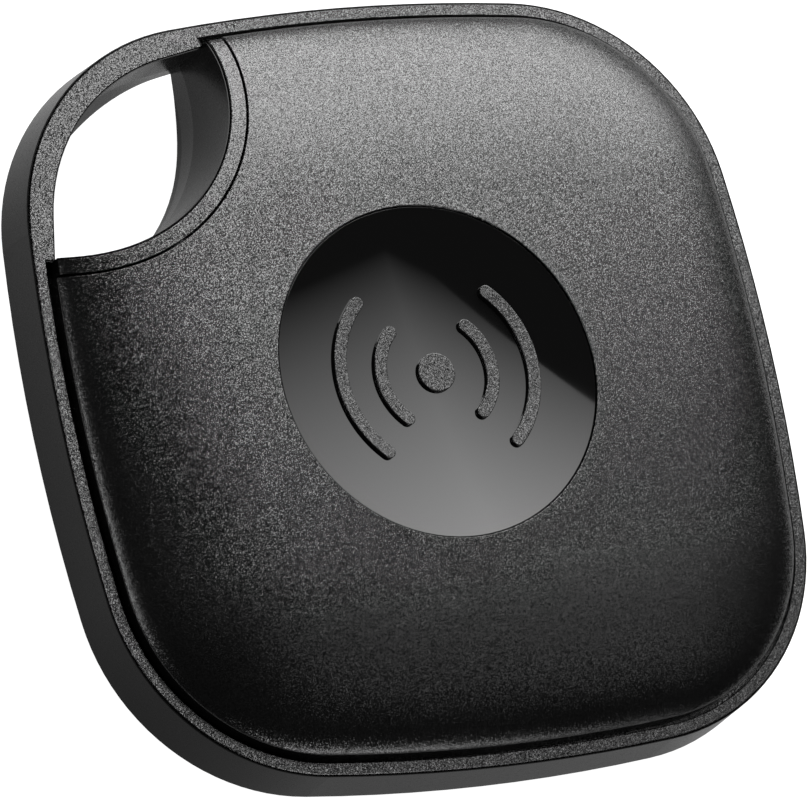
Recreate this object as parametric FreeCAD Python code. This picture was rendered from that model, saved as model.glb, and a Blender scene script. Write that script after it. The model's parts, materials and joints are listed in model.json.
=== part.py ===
import FreeCAD, Part
import math
import os

# Key-ring Bluetooth tracker tag, lying on its back: +Z is the button side, the origin is the middle of
# the flat back, and the key hole is in the corner at -X +Y. Lengths are in millimetres.

V = FreeCAD.Vector
UP = V(0, 0, 1)
os.makedirs("parts", exist_ok=True)

# ---------------------------------------------------------------- driving dimensions
# outer shape
total_height = 7.2
rim_height = 5.16            # plane of the textured rim face
half_width = 18.87           # middle of a side, at the rim plane
side_radius = 93.5           # the four nearly straight sides
corner_radius = 10.41        # the four corners
band_flare = 0.14            # how far the side wall spreads down to its lower edge
band_low = 2.22              # lower edge of the side wall
under_bevel = 0.14           # small bevel under the side wall
under_inset = 0.07           # the bevel's lower edge, from the outline's widest
back_span = 6.6              # width of the curved border of the back
back_power = 3.3
back_steps = 12
wall = 1.3                   # side wall of the rear housing
floor_height = 0.8           # inside of the back

# seam between the rear housing and the rim frame
seam_step = 0.06             # the housing's upper edge lies this far below the rim face
seam_round = 0.05            # rounding of the housing's upper edge
skin = 0.18                  # upper wall of the housing round the rim frame
edge_skin = 0.05             # what is left of that wall at its upper edge
skin_taper = (0.45, 0.20)    # where the wall thins, below the rim face
seam_gap = 0.05              # between the housing's upper wall and the rim frame
rim_bevel = 0.04             # bevels on the edges of the rim face
rim_width = 0.67             # from the outline to the inner edge of the rim face
rebate_height = 3.82         # shelf in the housing that carries the rim frame
seal_thickness = 0.08
flange_top = 4.30            # shelf in the rim frame that carries the cover
flange_inset = 2.2

# key hole in the corner
hole_centre = 15.8           # both distances of the arc centre from the middle of the tag
hole_radius = 8.40           # wall of the hole on the body side
hole_skin = 0.04             # upper wall of the housing round the hole
hole_step = 0.12             # this wall ends below the top of the lip
lip_width = 0.84             # outer edge of the lip, beyond the wall of the hole
lip_round = 0.12             # rounded inner edge of the lip
lip_end = 1.05               # the lip starts this far in from the outline
lip_groove = 0.11            # between the lip and the cover
lip_shelf = 1.95             # width of the rim frame's shelf under the lip
hole_wall = 1.0              # wall of the housing round the hole, below the rim frame
strap_radius = 9.06          # inner edge of the strap, about the corner centre
strap_line_angle = 10.8      # where the strap's inner edge turns straight
strap_limit = 1.53           # the strap is narrower than this
draft_high = 2.4             # the hole changes shape from here
draft_low = 0.6              # down to this height:
draft_line = 0.10            # the straight inner edges of the strap move out,
draft_bend = 3.3             # its bend gets a larger radius,
draft_arc = 0.15             # and so does the arc on the body side
jog = 7.45                   # where the wide strap steps back to the narrow rim

# front cover
cover_inset = 0.92
edge_round = 0.06            # rounding of the lip's outer edge
edge_break = 0.06            # bevels on the small edges of the cover and the button
cover_edge = 0.42            # height of the cover's edge wall above the rim plane
pillow_span = 8.5
pillow_p = 1.8
pillow_q = 0.62
pillow_steps = 14
cover_wall = 0.85            # thickness of the cover's top
cover_side_wall = 0.7
cover_hole_wall = 0.9        # the same beside the key hole
glue_thickness = 0.08

# button
button_radius = 8.17
button_clearance = 0.03
button_recess = 0.10         # rim of the button below the crown of the cover
dish_depth = 0.35
button_bottom = 5.75
flange_radius = 8.95
flange_height = 0.45
emblem_height = 0.20
emblem_round = 0.04
stroke = 0.65
dot_radius = 0.95
wave_radii = (2.9, 5.0)
wave_half_angle = 47.0
pusher_radius = 1.8
pusher_recess = 0.4
pusher_low = 5.69

# inside
cell_x, cell_y = 2.2, -2.2   # coin cell, 20 mm across and 3.2 mm high
cell_radius = 10.0
cell_low = 1.5
cell_high = 4.7
board_low = 4.8
board_thickness = 0.6
board_inset = 3.05
board_hole_radius = 10.8
carrier_inset = 2.5
carrier_plate = (2.3, 2.9)
stake_points = ((12.0, -12.0), (12.0, 12.0), (-12.3, -12.0))
stake_radius = 0.55
copper = 0.035

board_high = board_low + board_thickness
cover_hole_radius = hole_radius + lip_width + lip_groove
hole_at = V(-hole_centre, hole_centre, 0)
cell_at = V(cell_x, cell_y, 0)

# ---------------------------------------------------------------- outline of tangent arcs
side_centre = half_width - side_radius
reach = side_radius - corner_radius
corner_centre = (2 * side_centre + math.sqrt(8 * reach ** 2 - 4 * side_centre ** 2)) / 4
side_half_angle = math.degrees(math.atan2(corner_centre, corner_centre - side_centre))


def polar(centre, radius, angle):
    """The point at a radius and an angle in degrees from a centre."""
    turn = math.radians(angle)
    return centre + V(radius * math.cos(turn), radius * math.sin(turn), 0)


def arc(centre, radius, start, end):
    """An arc edge between two angles in degrees."""
    points = [polar(centre, radius, angle) for angle in (start, (start + end) / 2, end)]
    return Part.Arc(*points).toShape()


def outline(inset, z=0.0):
    """The squircle outline as eight tangent arcs, moved inwards by inset, at height z."""
    edges = []
    for quarter in range(4):
        turn = 90 * quarter
        spin = FreeCAD.Rotation(UP, turn)
        side = spin.multVec(V(side_centre, 0, 0)) + V(0, 0, z)
        corner = spin.multVec(V(corner_centre, corner_centre, 0)) + V(0, 0, z)
        edges.append(arc(side, side_radius - inset, turn - side_half_angle, turn + side_half_angle))
        edges.append(arc(corner, corner_radius - inset, turn + side_half_angle, turn + 90 - side_half_angle))
    return Part.Wire(edges)


def prism(inset, low, high):
    """The outline, moved inwards, as a solid between two heights."""
    return Part.Face(outline(inset, low)).extrude(V(0, 0, high - low))


def loft(sections):
    """A solid with straight walls through outlines given as (inset, height)."""
    return Part.makeLoft([outline(inset, z) for inset, z in sections], True, True)


def sector(profile, base, centre, radius, start, end):
    """One stretch of a rounded border: the area between a profile and a base height, turned about an axis."""
    spin = FreeCAD.Rotation(UP, start)

    def place(inset, z):
        return centre + spin.multVec(V(radius - inset, 0, 0)) + V(0, 0, z)

    curve = Part.BSplineCurve()
    curve.interpolate([place(inset, z) for inset, z in profile])
    first, last = profile[0], profile[-1]
    corners = [place(*last), place(last[0], base), place(first[0], base), place(*first)]
    edges = [curve.toShape()]
    edges += [Part.LineSegment(a, b).toShape() for a, b in zip(corners, corners[1:]) if (a - b).Length > 1e-6]
    return Part.Face(Part.Wire(edges)).revolve(centre, UP, end - start)


def rounded_slab(profile, base):
    """A slab with a flat middle and a curved border, whose profile is a list of (inset, height)."""
    inner, flat = profile[-1]
    solids = [prism(inner, min(base, flat), max(base, flat))]
    for quarter in range(4):
        turn = 90 * quarter
        spin = FreeCAD.Rotation(UP, turn)
        side = spin.multVec(V(side_centre, 0, 0))
        corner = spin.multVec(V(corner_centre, corner_centre, 0))
        start, end = turn - side_half_angle, turn + side_half_angle
        solids.append(sector(profile, base, side, side_radius, start, end))
        solids.append(sector(profile, base, corner, corner_radius, end, start + 90))
    return fused(solids)


def disc(centre, radius, low, high):
    """An upright cylinder."""
    return Part.makeCylinder(radius, high - low, V(centre.x, centre.y, low), UP)


def ring(centre, inner, outer, low, high):
    """An upright ring."""
    return disc(centre, outer, low, high).cut(disc(centre, inner, low - 1, high + 1))


def block(x0, x1, y0, y1, z0, z1):
    """A box between two corners."""
    return Part.makeBox(x1 - x0, y1 - y0, z1 - z0, V(x0, y0, z0))


def slab(x, y, length, width, low, high):
    """A box centred on x, y."""
    return block(x - length / 2, x + length / 2, y - width / 2, y + width / 2, low, high)


def fused(shapes):
    """One solid from touching or overlapping solids."""
    return shapes[0].multiFuse(shapes[1:]).removeSplitter()


# ---------------------------------------------------------------- shared surfaces
def pillow_height(inset):
    """Height of the front surface, inset being the distance in from the cover's edge."""
    share = min(inset / pillow_span, 1.0)
    rise = (1 - (1 - share) ** pillow_p) ** pillow_q
    return rim_height + cover_edge + (total_height - rim_height - cover_edge) * rise


def pillow(low, inset=0.0, drop=0.0):
    """The front pillow from a height up, moved inwards and down for the inside of the cover."""
    span = pillow_span - inset
    steps = [span * (i / pillow_steps) ** 2.2 for i in range(pillow_steps + 1)]
    profile = [(cover_inset + inset + step, pillow_height(step) - drop) for step in steps]
    return rounded_slab(profile, low)


def back_height(inset):
    """Height of the curved border of the back, inset being the distance in from the side wall's edge."""
    return (band_low - under_bevel) * max(0.0, 1 - inset / back_span) ** back_power


def mirrored(point):
    """The point on the other side of the diagonal through the key hole."""
    return V(-point.y, -point.x, point.z)


def hole_wire(z, grow):
    """Outline of the key hole at a height, made larger by grow: the strap's edge and the body side's arc."""
    depth = min(max((draft_high - z) / (draft_high - draft_low), 0), 1)
    diagonal = V(1, -1, 0) / math.sqrt(2)
    line_distance = strap_radius + grow + draft_line * depth
    bend_radius = line_distance + draft_bend * depth
    half_bend = math.radians(45 - strap_line_angle)
    bend_centre = V(-corner_centre, corner_centre, z) + diagonal * (draft_bend * depth / math.cos(half_bend))
    arc_centre = V(-hole_centre, hole_centre, z)
    arc_radius = hole_radius + grow + draft_arc * depth

    bend_end = polar(bend_centre, bend_radius, 90 + strap_line_angle)
    along = polar(V(0, 0, 0), 1, strap_line_angle)
    offset = bend_end - arc_centre
    ahead = offset.dot(along)
    run = -ahead + math.sqrt(ahead ** 2 - offset.dot(offset) + arc_radius ** 2)
    tip = bend_end + along * run
    bend = Part.Arc(mirrored(bend_end), bend_centre - diagonal * bend_radius, bend_end)
    body_side = Part.Arc(tip, arc_centre + diagonal * arc_radius, mirrored(tip))
    return Part.Wire([
        bend.toShape(),
        Part.LineSegment(bend_end, tip).toShape(),
        body_side.toShape(),
        Part.LineSegment(mirrored(tip), mirrored(bend_end)).toShape(),
    ])


def key_hole(grow=0.0):
    """The space of the key hole as a solid that runs past the tag, made larger by grow."""
    heights = (-1, draft_low, draft_high, total_height + 1)
    return Part.makeLoft([hole_wire(z, grow) for z in heights], True, True)


def circle_edges(shape, centre, radius, low):
    """The edges of a shape that run round a centre at a radius, above a height."""
    chosen = []
    for edge in shape.Edges:
        distances = [math.hypot(end.X - centre.x, end.Y - centre.y) for end in edge.Vertexes]
        if edge.BoundBox.ZMin > low and all(abs(distance - radius) < 0.01 for distance in distances):
            chosen.append(edge)
    return chosen


# ---------------------------------------------------------------- casing
def rear_housing():
    """Back, side wall and the walls of the key hole, which come up between the rim frame and the hole."""
    top = rim_height - seam_step
    band = loft([(-band_flare, band_low), (0, top - seam_round)])
    edge = loft([(0, top - seam_round), (0.3 * seam_round, top - 0.3 * seam_round), (0.9 * seam_round, top)])
    start = under_inset - band_flare
    under = loft([(start, band_low - under_bevel), (-band_flare, band_low)])
    steps = [back_span * i / back_steps for i in range(back_steps + 1)]
    back = rounded_slab([(start + step, back_height(step)) for step in steps], band_low - under_bevel)
    body = fused([back, under, band, edge])

    inner = [(wall, 2.75), (2.0, 2.15), (3.0, 1.55), (4.2, 1.1), (5.6, 0.86), (6.8, floor_height)]
    cavity = loft(inner[::-1]).fuse(prism(wall, 2.75, top + 1))
    cavity = cavity.cut(disc(hole_at, hole_radius + hole_wall, 0, top + 2))
    body = body.cut(cavity)
    rebate = loft([
        (skin, rebate_height),
        (skin, rim_height - skin_taper[0]),
        (edge_skin, rim_height - skin_taper[1]),
        (edge_skin, total_height),
    ])
    body = body.cut(rebate.cut(key_hole(hole_skin)))
    tube = ring(hole_at, hole_radius - 0.5, hole_radius + hole_skin, rebate_height - 0.3, total_height)
    low_part = tube.common(prism(rim_width + seam_gap, rebate_height - 0.3, top))
    high_part = tube.common(prism(lip_end, rebate_height, total_height))
    high_part = high_part.common(pillow(rebate_height, 0, hole_step))
    inside = disc(hole_at, hole_radius, rebate_height - 0.3, total_height)
    collar = low_part.fuse(high_part).cut(inside)
    return fused([body, collar]).cut(key_hole())


def rim_frame():
    """Textured rim face, the widened strap, the shelf for the cover and the lip round the hole."""
    low = rebate_height + seal_thickness
    thin = edge_skin + seam_gap
    outer = loft([
        (skin + seam_gap, low),
        (skin + seam_gap, rim_height - skin_taper[0]),
        (thin, rim_height - skin_taper[1]),
        (thin, rim_height - rim_bevel),
        (thin + rim_bevel, rim_height),
    ])
    inside = loft([
        (rim_width, low - 1),
        (rim_width, rim_height - rim_bevel),
        (rim_width - rim_bevel, rim_height),
        (rim_width - 2 * rim_bevel, rim_height + rim_bevel),
    ])
    rim = outer.cut(inside)
    groove = hole_skin + seam_gap
    lip_low = rim_height + 0.3  # only edges above this are rounded
    strap_zone = block(-20, -jog, jog, 20, low, rim_height)
    strap = outer.common(strap_zone).cut(prism(strap_limit, 0, 9))
    strap = strap.common(disc(hole_at, hole_radius - seam_gap, low, rim_height))
    shelf = prism(skin + seam_gap, low, flange_top).cut(prism(flange_inset, low - 1, flange_top + 1))
    collar = ring(hole_at, hole_radius, hole_radius + lip_shelf, low, flange_top)
    collar = collar.common(prism(rim_width, low, flange_top))
    lip = ring(hole_at, hole_radius + groove, hole_radius + lip_width, low, total_height + 1)
    lip = lip.common(pillow(low)).common(prism(lip_end, low, total_height + 1))
    lip = lip.makeFillet(lip_round, circle_edges(lip, hole_at, hole_radius + groove, lip_low))
    lip = lip.makeFillet(edge_round, circle_edges(lip, hole_at, hole_radius + lip_width, lip_low))
    slot = ring(hole_at, hole_radius - seam_gap, hole_radius + groove, low, total_height)
    shelf = shelf.cut(slot.common(prism(rim_width, low, total_height)))
    collar = collar.cut(slot)
    return fused([rim, shelf, strap, collar, lip]).cut(key_hole(groove))


def front_cover():
    """Pillow-shaped front shell with the round opening for the button."""
    low = flange_top + glue_thickness
    shell = pillow(low).cut(disc(hole_at, cover_hole_radius, 0, 9))
    pocket = pillow(low - 1, cover_side_wall, cover_wall)
    shell = shell.cut(pocket.cut(disc(hole_at, cover_hole_radius + cover_hole_wall, 0, 9)))
    shell = shell.makeChamfer(edge_break, circle_edges(shell, hole_at, cover_hole_radius, rim_height + 0.3))
    opening = button_radius + button_clearance
    middle = V(0, 0, 0)
    shell = shell.cut(disc(middle, opening, low - 1, 9))
    return shell.makeChamfer(edge_break, circle_edges(shell, middle, opening, total_height - 0.1))


def glue_ring():
    """Adhesive between the cover's edge and the shelf of the rim frame."""
    band = prism(cover_inset + 0.1, flange_top, flange_top + glue_thickness)
    band = band.cut(prism(cover_inset + 0.85, 0, 9))
    return band.cut(disc(hole_at, cover_hole_radius + 0.1, 0, 9))


def housing_seal():
    """Seal between the shelf of the housing and the rim frame."""
    high = rebate_height + seal_thickness
    clear = hole_skin + 0.1
    band = prism(skin + 0.2, rebate_height, high).cut(prism(wall - 0.15, 0, 9))
    around = ring(hole_at, hole_radius - 0.3, hole_radius + 0.85, rebate_height, high)
    around = around.common(prism(wall - 0.2, rebate_height, high))
    seal = fused([band, around]).cut(key_hole(clear))
    collar = ring(hole_at, hole_radius - 0.1, hole_radius + clear, 0, 9)
    return seal.cut(collar.common(prism(rim_width, 0, 9)))


# ---------------------------------------------------------------- button
def stroke_face(radius, start, end, z):
    """Flat shape of one arc stroke with round ends."""
    middle = V(0, 0, z)
    inner = radius - stroke / 2
    outer = radius + stroke / 2
    tip_start = polar(middle, radius, start)
    tip_end = polar(middle, radius, end)
    cap_end = Part.Arc(
        polar(middle, outer, end), polar(tip_end, stroke / 2, end + 90), polar(middle, inner, end))
    cap_start = Part.Arc(
        polar(middle, inner, start), polar(tip_start, stroke / 2, start - 90), polar(middle, outer, start))
    edges = [arc(middle, outer, start, end), cap_end.toShape(), arc(middle, inner, end, start),
             cap_start.toShape()]
    return Part.Face(Part.Wire(edges))


def soften_top(figure):
    """A raised figure with small rounds round its top face."""
    top = max(figure.Faces, key=lambda face: face.CenterOfMass.z)
    return figure.makeFillet(emblem_round, top.Edges)


def button_cap():
    """Glossy dished button with a raised broadcast symbol: a dot between two pairs of waves."""
    edge = total_height - button_recess
    dish_radius = (button_radius ** 2 + dish_depth ** 2) / (2 * dish_depth)
    bowl_centre = V(0, 0, edge - dish_depth + dish_radius)
    middle = V(0, 0, 0)
    bevel_low = edge - edge_break
    cap = fused([
        disc(middle, button_radius, button_bottom, bevel_low),
        Part.makeCone(button_radius, button_radius - edge_break, edge_break, V(0, 0, bevel_low), UP),
        disc(middle, flange_radius, button_bottom, button_bottom + flange_height),
    ])
    cap = cap.cut(Part.makeSphere(dish_radius, bowl_centre))
    cap = cap.cut(disc(middle, pusher_radius + 0.02, button_bottom - 1, button_bottom + pusher_recess))
    low = edge - dish_depth - 0.1
    high = edge + 1
    figures = [disc(middle, dot_radius, low, high)]
    for radius in wave_radii:
        for side in (0, 180):
            face = stroke_face(radius, side - wave_half_angle, side + wave_half_angle, low)
            figures.append(face.extrude(V(0, 0, high - low)))
    raised = Part.makeSphere(dish_radius, bowl_centre + V(0, 0, emblem_height))
    raised.rotate(middle, UP, 90)  # turns the sphere's own seam away from the waves
    figures = [figure.cut(raised) for figure in figures]
    figures = [soften_top(figure) for figure in figures]
    return fused([cap] + figures)


def button_pusher():
    """Silicone pusher set in the underside of the button."""
    return disc(V(0, 0, 0), pusher_radius, pusher_low, button_bottom + pusher_recess)


def button_foam_ring():
    """Foam ring that carries and seals the edge of the button."""
    return ring(V(0, 0, 0), 7.9, 8.7, board_high, button_bottom - 0.01)


def metal_dome():
    """Snap dome of the switch: a thin shallow shell on a flat rim."""
    base = board_high + copper
    height = 0.23
    radius = 2.4
    thick = 0.06
    outer = (radius ** 2 + height ** 2) / (2 * height)
    shell = Part.makeSphere(outer, V(0, 0, base + height - outer))
    inside = Part.makeSphere(outer - thick, V(0, 0, base + height - outer))
    return shell.cut(inside).common(disc(V(0, 0, 0), 3, base, base + 1))


def dome_film():
    """Adhesive film ring that holds the dome's foot on the board."""
    return ring(V(0, 0, 0), 2.5, 3.4, board_high + copper, board_high + copper + 0.06)


def switch_contacts():
    """Centre pad and outer ring under the dome."""
    pad = disc(V(0, 0, 0), 0.9, board_high, board_high + copper)
    track = ring(V(0, 0, 0), 1.7, 3.4, board_high, board_high + copper)
    return Part.makeCompound([pad, track])


# ---------------------------------------------------------------- circuit board
def main_board():
    """Board with a scalloped corner for the key hole and holes for the heat stakes."""
    board = prism(board_inset, board_low, board_high)
    board = board.cut(disc(hole_at, board_hole_radius, 0, 9))
    for x, y in stake_points:
        board = board.cut(disc(V(x, y, 0), stake_radius + 0.05, 0, 9))
    return board


def chip(x, y, length, width, height):
    """A package under the board with a bevelled pin-one corner."""
    body = slab(x, y, length, width, board_low - height, board_low)
    cut = min(length, width) * 0.12
    corner = slab(x - length / 2, y + width / 2, cut, cut, 0, 9)
    return body.cut(corner)


def small_parts(places, length, width, height):
    """A row of chip components under the board, as separate solids."""
    return Part.makeCompound([slab(x, y, length, width, board_low - height, board_low) for x, y in places])


def boost_inductor():
    """Drum inductor that drives the sounder."""
    body = disc(V(-13.2, 1.6, 0), 1.5, board_low - 1.3, board_low)
    return body.cut(ring(V(-13.2, 1.6, 0), 1.15, 3, board_low - 1.0, board_low - 0.35))


def antenna_trace():
    """Inverted-F antenna: a copper meander on the front of the board along the right side."""
    low, high = board_high, board_high + copper
    pitch = 1.5
    width = 0.5
    left, right = 11.2, 14.4
    bottom = -6.0
    bars = []
    for step in range(8):
        y = bottom + step * pitch
        bars.append(block(left, right, y, y + width, low, high))
        if step < 7:
            x = right - width if step % 2 == 0 else left
            bars.append(block(x, x + width, y, y + pitch + width, low, high))
    return fused(bars)


def test_pads():
    """Gold test points under the board."""
    return Part.makeCompound([disc(V(14.4, -4.0 + 1.9 * step, 0), 0.6, board_low - copper, board_low)
                              for step in range(4)])


# ---------------------------------------------------------------- coin cell
def cell_can():
    """Positive can with its crimped edge."""
    high = cell_high - 0.3
    cup = ring(cell_at, cell_radius - 0.25, cell_radius, cell_low, high)
    base = disc(cell_at, cell_radius, cell_low, cell_low + 0.25)
    crimp = ring(cell_at, cell_radius - 0.75, cell_radius - 0.2, high - 0.2, high)
    return fused([cup, base, crimp])


def cell_gasket():
    """Nylon ring between the can and the cap."""
    wall_ring = ring(cell_at, 9.45, 9.75, cell_low + 0.25, cell_high - 0.5)
    lip = ring(cell_at, 9.0, 9.5, cell_high - 0.6, cell_high - 0.5)
    return fused([wall_ring, lip])


def cell_cap():
    """Negative cap with its stepped shoulder."""
    skirt = ring(cell_at, 9.2, 9.45, cell_low + 0.45, cell_high - 0.6)
    shoulder = ring(cell_at, 8.7, 9.45, cell_high - 0.85, cell_high - 0.6)
    neck = ring(cell_at, 8.7, 8.95, cell_high - 0.7, cell_high - 0.2)
    top = disc(cell_at, 8.95, cell_high - 0.25, cell_high)
    return fused([skirt, shoulder, neck, top])


def negative_tab():
    """Nickel strip from the cell's cap to the board."""
    return block(-9.4, 3.5, -3.7, -0.7, cell_high, board_low)


def positive_tab():
    """Nickel strip welded to the side of the can, with a foot under the board."""
    leg = block(cell_x + cell_radius, cell_x + cell_radius + 0.1, -3.7, -0.7, 2.0, board_low)
    foot = block(cell_x + cell_radius, 13.4, -3.7, -0.7, board_low - 0.1, board_low)
    return fused([leg, foot])


# ---------------------------------------------------------------- sounder and carrier
def sounder_contact(y, start, height, post):
    """Bronze strip from the sounder out under the cell and up to the board."""
    foot = block(post, start, y - 0.5, y + 0.5, height, height + 0.1)
    leg = block(post - 0.1, post, y - 0.5, y + 0.5, height, board_low)
    return fused([foot, leg])


def inner_carrier():
    """Plastic chassis: battery ring with a ledge, a plate, an outer wall and three heat stakes."""
    low, high = carrier_plate
    plate = prism(carrier_inset, low, high)
    border = prism(carrier_inset, low, board_low).cut(prism(carrier_inset + 0.9, low - 1, 9))
    sleeve = ring(cell_at, cell_radius + 0.2, cell_radius + 1.0, 0.95, board_low)
    collar = ring(hole_at, board_hole_radius - 0.2, board_hole_radius + 0.6, low, board_low)
    collar = collar.common(prism(carrier_inset, low, 9))
    ledge = ring(cell_at, cell_radius - 0.6, cell_radius + 0.3, 1.2, cell_low)
    posts = [disc(V(x, y, 0), stake_radius + 0.5, low, board_low) for x, y in stake_points]
    stakes = [disc(V(x, y, 0), stake_radius, low, board_high) for x, y in stake_points]
    heads = [disc(V(x, y, 0), stake_radius + 0.25, board_high, board_high + 0.2) for x, y in stake_points]
    body = plate.cut(disc(cell_at, cell_radius + 0.2, 0, 9)).cut(disc(hole_at, board_hole_radius - 0.2, 0, 9))
    border = border.cut(disc(hole_at, board_hole_radius - 0.2, 0, 9))
    body = fused([body, border, sleeve, collar, ledge] + posts + stakes + heads)
    for y in (-4.6, 1.6):
        body = body.cut(block(-11.0, -4.0, y - 0.7, y + 0.7, 0, 9))
    body = body.cut(block(11.9, 13.6, -3.9, -0.5, 1.9, 9))
    return body.cut(block(-9.6, -6.0, -3.9, -0.5, cell_high - 0.1, 9))


nodes = {
    "rear_housing": rear_housing(),
    "rim_frame": rim_frame(),
    "front_cover": front_cover(),
    "cover_glue_ring": glue_ring(),
    "housing_seal": housing_seal(),
    "button_cap": button_cap(),
    "button_pusher": button_pusher(),
    "button_foam_ring": button_foam_ring(),
    "metal_dome": metal_dome(),
    "dome_film": dome_film(),
    "switch_contacts": switch_contacts(),
    "main_board": main_board(),
    "bluetooth_chip": chip(-12.7, -6.9, 4.0, 4.0, 0.85),
    "memory_chip": chip(-2.0, 12.6, 3.0, 2.0, 0.6),
    "sounder_driver_chip": chip(3.0, 12.6, 2.0, 2.0, 0.6),
    "main_crystal": slab(-12.7, -3.6, 2.0, 1.6, board_low - 0.5, board_low),
    "clock_crystal": slab(-12.7, -1.6, 2.0, 1.2, board_low - 0.6, board_low),
    "boost_inductor": boost_inductor(),
    "capacitors": small_parts([(6.0 + 1.5 * step, y) for step in range(4) for y in (10.4, 12.1)],
                              0.6, 1.0, 0.5),
    "resistors": small_parts([(6.0 + 1.5 * step, 13.8) for step in range(3)]
                             + [(-1.0 + 1.0 * step, 14.5) for step in range(3)], 0.5, 1.0, 0.35),
    "antenna_trace": antenna_trace(),
    "test_pads": test_pads(),
    "cell_can": cell_can(),
    "cell_gasket": cell_gasket(),
    "cell_cap": cell_cap(),
    "cell_cathode": disc(cell_at, 8.0, cell_low + 0.25, 3.6),
    "cell_separator": disc(cell_at, 9.1, 3.6, 3.7),
    "cell_lithium": disc(cell_at, 8.0, 3.7, cell_high - 0.25),
    "negative_tab": negative_tab(),
    "positive_tab": positive_tab(),
    "sounder_glue_ring": ring(cell_at, 8.8, 9.9, floor_height, floor_height + 0.1),
    "sounder_disc": disc(cell_at, cell_radius, floor_height + 0.1, floor_height + 0.3),
    "sounder_ceramic": disc(cell_at, 7.0, floor_height + 0.3, floor_height + 0.48),
    "sounder_disc_contact": sounder_contact(-4.6, -7.0, floor_height + 0.3, -9.8),
    "sounder_ceramic_contact": sounder_contact(1.6, -3.6, floor_height + 0.48, -9.8),
    "inner_carrier": inner_carrier(),
}

for name, shape in nodes.items():
    solids = shape.Solids
    box = shape.BoundBox
    print(f"{name:26s} solids {len(solids)} valid {shape.isValid()} volume {shape.Volume:9.3f} "
          f"x {box.XMin:7.2f} {box.XMax:7.2f} y {box.YMin:7.2f} {box.YMax:7.2f} "
          f"z {box.ZMin:6.2f} {box.ZMax:6.2f}")
    shape.exportStep(f"parts/{name}.step")
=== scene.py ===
import json
import math

import bpy
from mathutils import Matrix, Vector


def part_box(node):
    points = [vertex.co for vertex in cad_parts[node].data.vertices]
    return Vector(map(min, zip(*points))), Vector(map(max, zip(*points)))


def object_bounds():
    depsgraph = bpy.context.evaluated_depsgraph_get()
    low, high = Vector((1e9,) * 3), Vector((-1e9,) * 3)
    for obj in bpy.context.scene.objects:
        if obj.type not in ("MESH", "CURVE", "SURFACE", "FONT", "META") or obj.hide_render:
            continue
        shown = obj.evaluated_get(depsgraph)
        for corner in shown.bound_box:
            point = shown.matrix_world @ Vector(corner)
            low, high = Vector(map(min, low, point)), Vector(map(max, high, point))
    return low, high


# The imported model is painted, lit and photographed here. It lies on its back: +Z is the button side
# and the key hole is in the corner at -X +Y.

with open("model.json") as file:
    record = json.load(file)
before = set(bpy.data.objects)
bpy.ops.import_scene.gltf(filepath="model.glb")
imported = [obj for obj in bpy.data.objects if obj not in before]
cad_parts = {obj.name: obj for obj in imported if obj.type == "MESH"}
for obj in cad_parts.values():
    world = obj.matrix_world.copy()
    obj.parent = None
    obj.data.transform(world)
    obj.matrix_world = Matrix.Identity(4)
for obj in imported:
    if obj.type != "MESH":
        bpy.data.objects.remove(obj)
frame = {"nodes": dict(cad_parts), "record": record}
cad_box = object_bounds()

MM = 0.001
low, high = cad_box
middle = (low + high) / 2

RIM_DEPTH = 1.26 * MM              # from the foot of the rim frame up to its flat face
RIM_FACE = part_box("rim_frame")[0].z + RIM_DEPTH

# the button's dish: its height is its low plus its curve times the squared distance from the middle
DISH_DEPTH = 0.345 * MM            # below the button's highest point
DISH_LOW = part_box("button_cap")[1].z - DISH_DEPTH
DISH_CURVE = 1 / (190.8 * MM)
SYMBOL_TOP = 0.13 * MM             # a point this far above the dish is on top of the raised symbol,
SYMBOL_EDGE = 0.01 * MM            # give or take this

# the tag's outline: four long side arcs and four corner arcs
HALF_WIDTH = 18.87 * MM
SIDE_RADIUS = 93.5 * MM
CORNER_RADIUS = 10.41 * MM
SIDE_CENTRE = HALF_WIDTH - SIDE_RADIUS
REACH = SIDE_RADIUS - CORNER_RADIUS      # from the centre of a side arc to that of a corner arc
CORNER_CENTRE = (2 * SIDE_CENTRE + math.sqrt(8 * REACH ** 2 - 4 * SIDE_CENTRE ** 2)) / 4

# The cover's pillow: with REST going from 1 at its edge to 0 where it levels out,
# its height is PILLOW_LOW + PILLOW_RISE * (1 - REST ** PILLOW_POWER) ** PILLOW_ROUND.
PILLOW_EDGE = 0.92 * MM            # its edge lies this far inside the outline
PILLOW_SPAN = 8.5 * MM             # and it levels out this much further in
PILLOW_LOW = RIM_FACE + 0.42 * MM
PILLOW_RISE = high.z - PILLOW_LOW
PILLOW_POWER = 1.8
PILLOW_ROUND = 0.62
PILLOW_FADE = 1.2                  # power of REST in its slope, which fades out softer than by 0.8
STEEPEST_REST = 0.998              # at 1 the slope would have no limit
CROWN = 1 / (290 * MM)             # what is left of the cover's curve in the middle

# nearer than the first to such a curve, a point takes its normal from it; beyond the second,
# from the mesh
DISH_MARGIN = (0.015 * MM, 0.030 * MM)
PILLOW_MARGIN = (0.02 * MM, 0.05 * MM)

# the moulded grain: small facets, each with its own tilt and gloss
GRAIN_SIZE = 0.032 * MM
GRAIN_TIP = 0.28                   # how far they are tipped
GRAIN_GLOSS = (0.2, 0.8)
GRAIN_ROUGHNESS = 0.22
SYMBOL_ROUGHNESS = 0.34
GRAIN_PICK = (0.9, 0.1, 0.0)       # makes one random number from a facet's random colour

CLOUD = (0.3, 0.7)                 # most of a noise lies between these


# ---------------------------------------------------------------- camera
LENS = 505.3                       # in mm, on a sensor this wide
SENSOR_WIDTH = 36.0
AZIMUTH, ELEVATION, ROLL = (math.radians(angle) for angle in (-62.1346, 59.7166, -53.0297))
DISTANCE = 534.2 * MM
AIM = Vector((middle.x - 1.101 * MM, middle.y - 0.721 * MM, RIM_FACE))


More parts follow.
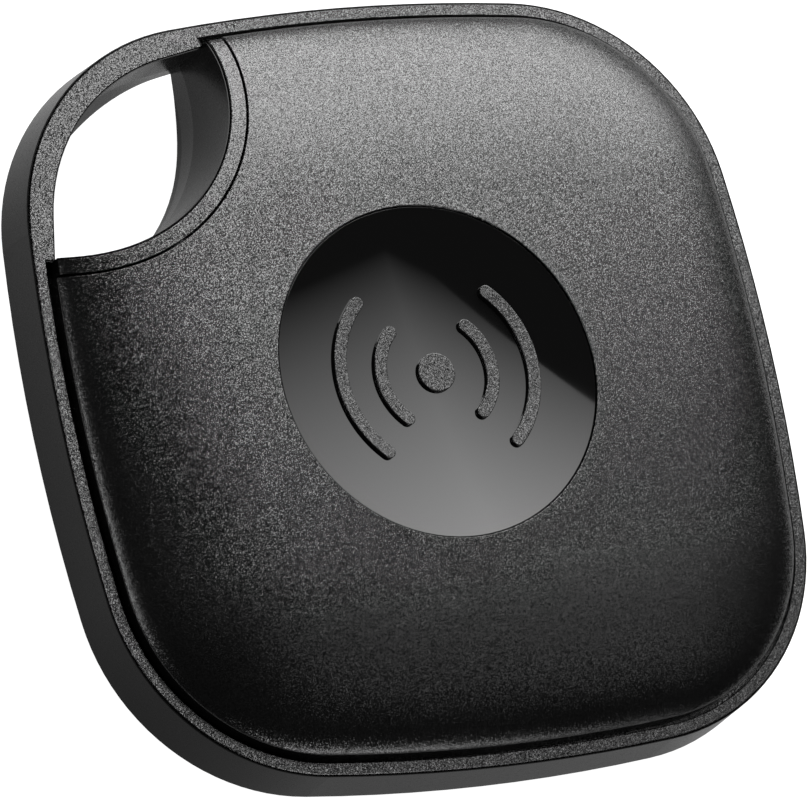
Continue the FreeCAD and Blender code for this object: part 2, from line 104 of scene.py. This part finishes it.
def add_camera():
    """A long lens above the left side of the tag, turned to have the key hole at the upper left."""
    data = bpy.data.cameras.new("camera")
    data.sensor_width = SENSOR_WIDTH
    data.lens = LENS
    data.clip_start = 0.05
    data.clip_end = 10.0
    camera = bpy.data.objects.new("camera", data)
    bpy.context.scene.collection.objects.link(camera)
    back = Vector((math.sin(AZIMUTH) * math.cos(ELEVATION),
                   -math.cos(AZIMUTH) * math.cos(ELEVATION),
                   math.sin(ELEVATION)))
    level_up = (Vector((0, 0, 1)) - back * back.z).normalized()
    level_right = level_up.cross(back)
    up = level_up * math.cos(ROLL) + level_right * math.sin(ROLL)
    turn = Matrix((up.cross(back), up, back)).transposed()
    camera.matrix_world = Matrix.Translation(AIM + back * DISTANCE) @ turn.to_4x4()
    bpy.context.scene.camera = camera


# ---------------------------------------------------------------- node helpers
class Recipe:
    """A node material under construction, with short ways to add and join its nodes."""

    def __init__(self, name):
        self.material = bpy.data.materials.new(name)
        self.material.use_nodes = True
        self.nodes = self.material.node_tree.nodes
        self.links = self.material.node_tree.links
        self.shader = self.nodes["Principled BSDF"]
        self.place = self.nodes.new("ShaderNodeTexCoord").outputs["Object"]

    def feed(self, socket, value):
        """Joins an output to a socket, or sets the socket to a number, vector or colour."""
        if isinstance(value, bpy.types.NodeSocket):
            self.links.new(value, socket)
        else:
            socket.default_value = value

    def set(self, **values):
        """Feeds the shader's inputs, their names written with underscores."""
        for name, value in values.items():
            self.feed(self.shader.inputs[name.replace("_", " ")], value)

    def math(self, operation, a, b=0.0):
        node = self.nodes.new("ShaderNodeMath")
        node.operation = operation
        self.feed(node.inputs[0], a)
        self.feed(node.inputs[1], b)
        return node.outputs[0]

    def add(self, a, b):
        return self.math("ADD", a, b)

    def subtract(self, a, b):
        return self.math("SUBTRACT", a, b)

    def multiply(self, a, b):
        return self.math("MULTIPLY", a, b)

    def divide(self, a, b):
        return self.math("DIVIDE", a, b)

    def power(self, a, b):
        return self.math("POWER", a, b)

    def mix(self, factor, a, b):
        """Goes from a to b as the factor goes from 0 to 1; for numbers."""
        node = self.nodes.new("ShaderNodeMix")
        self.feed(node.inputs["Factor"], factor)
        self.feed(node.inputs["A"], a)
        self.feed(node.inputs["B"], b)
        return node.outputs["Result"]

    def ramp(self, value, low_in, high_in, low_out, high_out):
        """Maps a value from one range to another, clamped."""
        node = self.nodes.new("ShaderNodeMapRange")
        self.feed(node.inputs["Value"], value)
        self.feed(node.inputs["From Min"], low_in)
        self.feed(node.inputs["From Max"], high_in)
        self.feed(node.inputs["To Min"], low_out)
        self.feed(node.inputs["To Max"], high_out)
        return node.outputs["Result"]

    def vector(self, operation, a, b=(0, 0, 0)):
        node = self.nodes.new("ShaderNodeVectorMath")
        node.operation = operation
        self.feed(node.inputs[0], a)
        self.feed(node.inputs[1], b)
        return node.outputs["Vector"]

    def scaled(self, vector, scale):
        node = self.nodes.new("ShaderNodeVectorMath")
        node.operation = "SCALE"
        self.feed(node.inputs[0], vector)
        self.feed(node.inputs["Scale"], scale)
        return node.outputs["Vector"]

    def dot(self, a, b):
        node = self.nodes.new("ShaderNodeVectorMath")
        node.operation = "DOT_PRODUCT"
        self.feed(node.inputs[0], a)
        self.feed(node.inputs[1], b)
        return node.outputs["Value"]

    def combine(self, x, y, z):
        """A vector from three numbers."""
        node = self.nodes.new("ShaderNodeCombineXYZ")
        for socket, value in zip(node.inputs, (x, y, z)):
            self.feed(socket, value)
        return node.outputs[0]

    def noise(self, size, detail=2.0, rough=0.5, where=None):
        """Soft cloudy noise whose lumps are about size across; about 0.5 on average."""
        node = self.nodes.new("ShaderNodeTexNoise")
        node.inputs["Scale"].default_value = 1 / size
        node.inputs["Detail"].default_value = detail
        node.inputs["Roughness"].default_value = rough
        self.feed(node.inputs["Vector"], where or self.place)
        return node.outputs["Fac"]

    def cells(self, size):
        """A random colour in each small cell."""
        node = self.nodes.new("ShaderNodeTexVoronoi")
        node.inputs["Scale"].default_value = 1 / size
        self.feed(node.inputs["Vector"], self.place)
        return node.outputs["Color"]

    def tones(self, value, dark, light, span=CLOUD):
        """A colour that goes from dark to light as the value goes through its span."""
        node = self.nodes.new("ShaderNodeValToRGB")
        for element, position, color in zip(node.color_ramp.elements, span, (dark, light)):
            element.position = position
            element.color = (*color, 1)
        self.feed(node.inputs["Fac"], value)
        return node.outputs["Color"]

    def bump(self, value, height):
        """A normal from a height map; height is what the value's change from 0 to 1 stands for."""
        node = self.nodes.new("ShaderNodeBump")
        node.inputs["Distance"].default_value = height
        self.feed(node.inputs["Height"], value)
        return node.outputs["Normal"]

    def curved(self, direction, off, margin):
        """The surface normal, or the direction of a true curve where the point is on it.

        The direction is in the piece's own axes. Off is how far the point is from the curve.
        """
        turn = self.nodes.new("ShaderNodeVectorTransform")
        turn.vector_type = "NORMAL"
        turn.convert_from = "OBJECT"
        turn.convert_to = "WORLD"
        self.feed(turn.inputs[0], self.vector("NORMALIZE", direction))
        share = self.ramp(self.math("ABSOLUTE", off), *margin, 1.0, 0.0)
        normal = self.nodes.new("ShaderNodeNewGeometry").outputs["Normal"]
        change = self.vector("SUBTRACT", turn.outputs[0], normal)
        return self.vector("ADD", normal, self.scaled(change, share))

    def faceted(self, normal, cell, amount):
        """A normal tipped a little, differently in each cell."""
        tip = self.scaled(self.vector("SUBTRACT", cell, (0.5, 0.5, 0.5)), amount)
        return self.vector("NORMALIZE", self.vector("ADD", normal, tip))


def gray(level):
    return (level, level, level)


# ---------------------------------------------------------------- outer materials
def pillow_normal(recipe):
    """The surface normal; on the cover's pillow it follows a smooth curve and not the mesh."""
    x, y, z = (recipe.dot(recipe.place, axis) for axis in ((1, 0, 0), (0, 1, 0), (0, 0, 1)))
    across, along = recipe.math("ABSOLUTE", x), recipe.math("ABSOLUTE", y)
    far, near = recipe.math("MAXIMUM", across, along), recipe.math("MINIMUM", across, along)
    far_is_x = recipe.math("GREATER_THAN", across, along)

    def from_centre(run, rise):
        """The distance from an arc's centre and the direction away from it."""
        squares = recipe.add(recipe.multiply(run, run), recipe.multiply(rise, rise))
        distance = recipe.math("SQRT", squares)
        return distance, recipe.divide(run, distance), recipe.divide(rise, distance)

    # how far the point is inside the outline, and which way is out
    side_run = recipe.subtract(far, SIDE_CENTRE)
    side, side_far, side_near = from_centre(side_run, near)
    corner, corner_far, corner_near = from_centre(recipe.subtract(far, CORNER_CENTRE),
                                                  recipe.subtract(near, CORNER_CENTRE))
    corner_slope = CORNER_CENTRE / (CORNER_CENTRE - SIDE_CENTRE)
    in_corner = recipe.math("GREATER_THAN", near, recipe.multiply(side_run, corner_slope))
    inside = recipe.mix(in_corner, recipe.subtract(SIDE_RADIUS, side),
                        recipe.subtract(CORNER_RADIUS, corner))
    out_far = recipe.mix(in_corner, side_far, corner_far)
    out_near = recipe.mix(in_corner, side_near, corner_near)
    out_x = recipe.multiply(recipe.mix(far_is_x, out_near, out_far), recipe.math("SIGN", x))
    out_y = recipe.multiply(recipe.mix(far_is_x, out_far, out_near), recipe.math("SIGN", y))

    # the pillow's height and slope there
    rest = recipe.ramp(inside, PILLOW_EDGE, PILLOW_EDGE + PILLOW_SPAN, STEEPEST_REST, 0.0)
    body = recipe.subtract(1.0, recipe.power(rest, PILLOW_POWER))
    rise = recipe.multiply(recipe.power(body, PILLOW_ROUND), PILLOW_RISE)
    steep = recipe.multiply(recipe.power(body, PILLOW_ROUND - 1), recipe.power(rest, PILLOW_FADE))
    slope = recipe.multiply(steep, PILLOW_ROUND * PILLOW_POWER * PILLOW_RISE / PILLOW_SPAN)

    direction = recipe.combine(
        recipe.add(recipe.multiply(out_x, slope), recipe.multiply(x, CROWN)),
        recipe.add(recipe.multiply(out_y, slope), recipe.multiply(y, CROWN)),
        1.0,
    )
    off = recipe.subtract(z, recipe.add(rise, PILLOW_LOW))
    return recipe.curved(direction, off, PILLOW_MARGIN)


def grained_black(name):
    """Black moulding with a fine sparkling grain: each facet has its own tilt and its own gloss."""
    recipe = Recipe(name)
    cell = recipe.cells(GRAIN_SIZE)
    cloud = recipe.noise(6 * MM, 3.0)
    recipe.set(
        Base_Color=recipe.tones(cloud, gray(0.0017), gray(0.002)),
        Specular_IOR_Level=recipe.ramp(recipe.dot(cell, GRAIN_PICK), *CLOUD, *GRAIN_GLOSS),
        Roughness=recipe.ramp(cloud, *CLOUD, GRAIN_ROUGHNESS + 0.02, GRAIN_ROUGHNESS - 0.02),
        Normal=recipe.faceted(pillow_normal(recipe), cell, GRAIN_TIP),
    )
    return recipe.material


def satin_black(name):
    """Smooth satin black moulding with faint flow marks."""
    recipe = Recipe(name)
    cloud = recipe.noise(1.5 * MM, 4.0)
    fine = recipe.noise(0.12 * MM, 2.0)
    recipe.set(
        Base_Color=recipe.tones(cloud, gray(0.003), gray(0.004)),
        Specular_IOR_Level=0.15,
        Roughness=recipe.ramp(fine, 0.35, 0.65, 0.28, 0.22),
        Normal=recipe.bump(fine, 0.0015 * MM),
    )
    return recipe.material


def button_black(name):
    """Polished black dish; the top of its raised symbol has the grain of the rim."""
    recipe = Recipe(name)
    flat = recipe.vector("MULTIPLY", recipe.place, (1, 1, 0))
    dish = recipe.add(recipe.multiply(recipe.dot(flat, flat), DISH_CURVE), DISH_LOW)
    above = recipe.subtract(recipe.dot(recipe.place, (0, 0, 1)), dish)
    top = recipe.ramp(above, SYMBOL_TOP - SYMBOL_EDGE, SYMBOL_TOP + SYMBOL_EDGE, 0.0, 1.0)

    direction = recipe.vector("ADD", recipe.scaled(flat, -2 * DISH_CURVE), (0, 0, 1))
    smooth = recipe.curved(direction, above, DISH_MARGIN)
    cell = recipe.cells(GRAIN_SIZE)
    sparkle = recipe.ramp(recipe.dot(cell, GRAIN_PICK), *CLOUD, *GRAIN_GLOSS)
    polish = recipe.ramp(recipe.noise(4 * MM, 2.0), *CLOUD, 0.02, 0.03)
    recipe.set(
        Base_Color=(*gray(0.0025), 1),
        Roughness=recipe.mix(top, polish, SYMBOL_ROUGHNESS),
        Specular_IOR_Level=recipe.mix(top, 0.5, sparkle),
        Normal=recipe.faceted(smooth, cell, recipe.multiply(top, GRAIN_TIP)),
    )
    return recipe.material


# ---------------------------------------------------------------- inner materials
def moulded(name, dark, light, roughness, size=0.4, lump=0.004):
    """Plain moulded or pressed stuff: two close tones, uneven gloss, a fine bump; sizes in mm."""
    recipe = Recipe(name)
    cloud = recipe.noise(size * MM, 4.0)
    recipe.set(
        Base_Color=recipe.tones(cloud, dark, light, (0.35, 0.65)),
        Roughness=recipe.ramp(cloud, *CLOUD, roughness + 0.07, roughness - 0.07),
        Normal=recipe.bump(recipe.noise(size * MM / 3, 2.0), lump * MM),
    )
    return recipe.material


def metal(name, dark, light, roughness, stretch=(1, 1, 1), size=0.15):
    """Bare metal with streaks along the directions that stretch makes small; size in mm."""
    recipe = Recipe(name)
    where = recipe.vector("MULTIPLY", recipe.place, stretch)
    streak = recipe.noise(size * MM, 5.0, 0.6, where)
    recipe.set(
        Base_Color=recipe.tones(recipe.noise(3 * MM, 3.0), dark, light),
        Metallic=1.0,
        Roughness=recipe.ramp(streak, *CLOUD, roughness + 0.1, roughness - 0.08),
        Normal=recipe.bump(streak, 0.0015 * MM),
    )
    return recipe.material


def woven(name, dark, light, size):
    """Non-woven felt: crossing fibres; size in mm."""
    recipe = Recipe(name)
    along, across = (
        recipe.noise(size * MM, 4.0, 0.6, recipe.vector("MULTIPLY", recipe.place, stretch))
        for stretch in ((0.15, 1, 1), (1, 0.15, 1))
    )
    fibre = recipe.math("MAXIMUM", along, across)
    recipe.set(
        Base_Color=recipe.tones(fibre, dark, light, (0.4, 0.65)),
        Roughness=0.9,
        Normal=recipe.bump(fibre, 0.02 * MM),
    )
    return recipe.material


def make_materials():
    """One finished material for each material slot of the record."""
    streaks = (0.06, 1, 1)
    short_streaks = (0.1, 1, 1)
    return {
        "shell_satin": satin_black("satin_black"),
        "shell_grain": grained_black("grained_black"),
        "button_gloss": button_black("button_black"),
        "silicone": moulded("silicone_gray", gray(0.28), gray(0.36), 0.6),
        "foam": moulded("foam_black", gray(0.008), gray(0.04), 0.95, 0.12, 0.03),
        "adhesive": moulded("adhesive_black", gray(0.02), gray(0.04), 0.35),
        "seal": moulded("seal_red", (0.10, 0.03, 0.02), (0.17, 0.05, 0.04), 0.5),
        "carrier_plastic": moulded(
            "carrier_gray", (0.50, 0.50, 0.48), (0.60, 0.60, 0.58), 0.5),
        "board_mask": moulded(
            "board_green", (0.008, 0.09, 0.04), (0.015, 0.13, 0.06), 0.28, 0.5, 0.002),
        "chip_epoxy": moulded("chip_black", gray(0.015), gray(0.03), 0.55, 0.08),
        "crystal_lid": metal(
            "crystal_lid", (0.62, 0.60, 0.55), (0.75, 0.73, 0.68), 0.3, short_streaks),
        "ferrite": moulded(
            "ferrite_gray", (0.05, 0.05, 0.055), (0.11, 0.11, 0.12), 0.6, 0.1, 0.01),
        "capacitor_body": moulded(
            "capacitor_tan", (0.34, 0.24, 0.15), (0.46, 0.34, 0.22), 0.45, 0.15),
        "resistor_body": moulded(
            "resistor_black", gray(0.01), (0.03, 0.03, 0.04), 0.2, 0.2, 0.001),
        "copper": metal("copper", (0.68, 0.33, 0.20), (0.82, 0.44, 0.28), 0.35),
        "gold": metal("gold_flash", (0.85, 0.60, 0.25), (0.95, 0.72, 0.34), 0.3),
        "cell_steel": metal("cell_steel", gray(0.66), gray(0.78), 0.28, streaks),
        "nylon": moulded("nylon_dark", (0.12, 0.14, 0.17), (0.18, 0.20, 0.24), 0.5),
        "cathode_mix": moulded("cathode_black", gray(0.012), gray(0.05), 0.9, 0.08, 0.02),
        "separator_felt": woven("separator_felt", gray(0.6), gray(0.85), 0.06),
        "lithium": metal(
            "lithium_gray", (0.50, 0.51, 0.54), (0.66, 0.67, 0.69), 0.45, size=0.3),
        "nickel": metal(
            "nickel_strip", (0.58, 0.55, 0.49), (0.70, 0.68, 0.61), 0.3, streaks),
        "sounder_brass": metal(
            "sounder_brass", (0.70, 0.52, 0.22), (0.84, 0.65, 0.32), 0.3, streaks),
        "sounder_white": moulded("sounder_white", gray(0.74), gray(0.84), 0.4),
        "film": moulded(
            "film_amber", (0.42, 0.22, 0.03), (0.55, 0.31, 0.05), 0.18, 1.0, 0.001),
        "spring_steel": metal(
            "spring_steel", gray(0.72), gray(0.82), 0.12, short_streaks, 0.1),
    }


def paint_nodes():
    """Gives each CAD node the material of its slot in the record."""
    materials = make_materials()
    for part in frame["record"]["subparts"]:
        piece = frame["nodes"][part["node"]]
        for slot in piece.material_slots:
            slot.material = materials[part["material_slot"]]


# ---------------------------------------------------------------- stage
FLOOR_GLOW = 0.32                  # what the floor gives off towards the tag
ROOM_GLOW = 0.03                   # and the room above it
FLOOR_GAP = 0.02 * MM              # the floor lies this far below the tag's flat back

LAMP_DISTANCE = 180 * MM
LAMPS = (
    # name, azimuth from +X, elevation, its left, right, bottom and top edge in mm, strength
    ("key_softbox", 50, 45, (-100, 120, -110, 65), 1.0),
    ("front_fill", -11, 60, (-19, 32, -65, 25), 1.0),
    ("left_strip", 180, 28, (-40, 40, -35, 35), 5.0),
    ("front_strip", 282, 18, (-55, 55, -28, 28), 5.0),
)
# brightness over the key softbox, as slopes: (change across its face, change up, lower left value)
KEY_MOST = 8.0
KEY_ACROSS = (42.0, -12.9, 2.8)
KEY_DOWN = (17.2, -33.8, 29.3)
KEY_LEAST = (0.0, -10.5, 8.4)


def add_floor():
    """A pale floor that looks white, but throws only a little light back at the tag."""
    recipe = Recipe("floor_white")
    seen = recipe.nodes.new("ShaderNodeLightPath").outputs["Is Camera Ray"]
    recipe.set(
        Base_Color=(*gray(0.25), 1),
        Roughness=0.9,
        Emission_Color=(1, 1, 1, 1),
        Emission_Strength=recipe.mix(seen, FLOOR_GLOW, 1.0),
    )
    bpy.ops.mesh.primitive_plane_add(size=4.0, location=(0, 0, low.z - FLOOR_GAP))
    floor = bpy.context.object
    floor.name = "floor"
    floor.data.materials.append(recipe.material)


def add_lamp(name, azimuth, elevation, edges, strength):
    """A softbox that faces the tag.

    Its edges are measured in its own plane, from the line to the tag. Right is the side of
    growing azimuth.
    """
    left, right, bottom, top = (edge * MM for edge in edges)
    turn, rise = math.radians(azimuth), math.radians(elevation)
    way = Vector((math.cos(turn) * math.cos(rise), math.sin(turn) * math.cos(rise), math.sin(rise)))
    across = Vector((-math.sin(turn), math.cos(turn), 0))
    upward = way.cross(across)
    data = bpy.data.lights.new(name, "AREA")
    data.shape = "RECTANGLE"
    data.size = right - left
    data.size_y = top - bottom
    data.energy = strength * (right - left) * (top - bottom) * math.pi
    lamp = bpy.data.objects.new(name, data)
    bpy.context.scene.collection.objects.link(lamp)
    centre = Vector((middle.x, middle.y, RIM_FACE)) + way * LAMP_DISTANCE
    centre += across * (left + right) / 2 + upward * (bottom + top) / 2
    axes = Matrix((across, upward, way)).transposed()
    lamp.matrix_world = Matrix.Translation(centre) @ axes.to_4x4()
    lamp.visible_camera = False


def shade_key():
    """Shades the key softbox across its face: the darker of two slopes, kept between two limits."""
    data = bpy.data.lights["key_softbox"]
    data.use_nodes = True
    nodes, links = data.node_tree.nodes, data.node_tree.links
    place = nodes.new("ShaderNodeNewGeometry").outputs["Parametric"]

    def join(operation, a, b):
        node = nodes.new("ShaderNodeMath")
        node.operation = operation
        links.new(a, node.inputs[0])
        if isinstance(b, float):
            node.inputs[1].default_value = b
        else:
            links.new(b, node.inputs[1])
        return node.outputs[0]

    def slope(across, up, start):
        node = nodes.new("ShaderNodeVectorMath")
        node.operation = "DOT_PRODUCT"
        links.new(place, node.inputs[0])
        node.inputs[1].default_value = (across, up, 0)
        return join("ADD", node.outputs["Value"], start)

    darker = join("MINIMUM", slope(*KEY_ACROSS), slope(*KEY_DOWN))
    level = join("MINIMUM", join("MAXIMUM", darker, slope(*KEY_LEAST)), KEY_MOST)
    links.new(join("MAXIMUM", level, 0.0), nodes["Emission"].inputs["Strength"])


def add_world():
    """A room that looks as white as the floor, but is nearly dark for everything else."""
    world = bpy.data.worlds.new("studio")
    bpy.context.scene.world = world
    world.use_nodes = True
    nodes, links = world.node_tree.nodes, world.node_tree.links
    background = nodes["Background"]
    background.inputs["Color"].default_value = (1, 1, 1, 1)
    strength = nodes.new("ShaderNodeMath")
    strength.operation = "MAXIMUM"
    links.new(nodes.new("ShaderNodeLightPath").outputs["Is Camera Ray"], strength.inputs[0])
    strength.inputs[1].default_value = ROOM_GLOW
    links.new(strength.outputs[0], background.inputs["Strength"])


bpy.context.scene.view_settings.view_transform = "Standard"
add_camera()
add_world()
add_floor()
for lamp in LAMPS:
    add_lamp(*lamp)
shade_key()
paint_nodes()
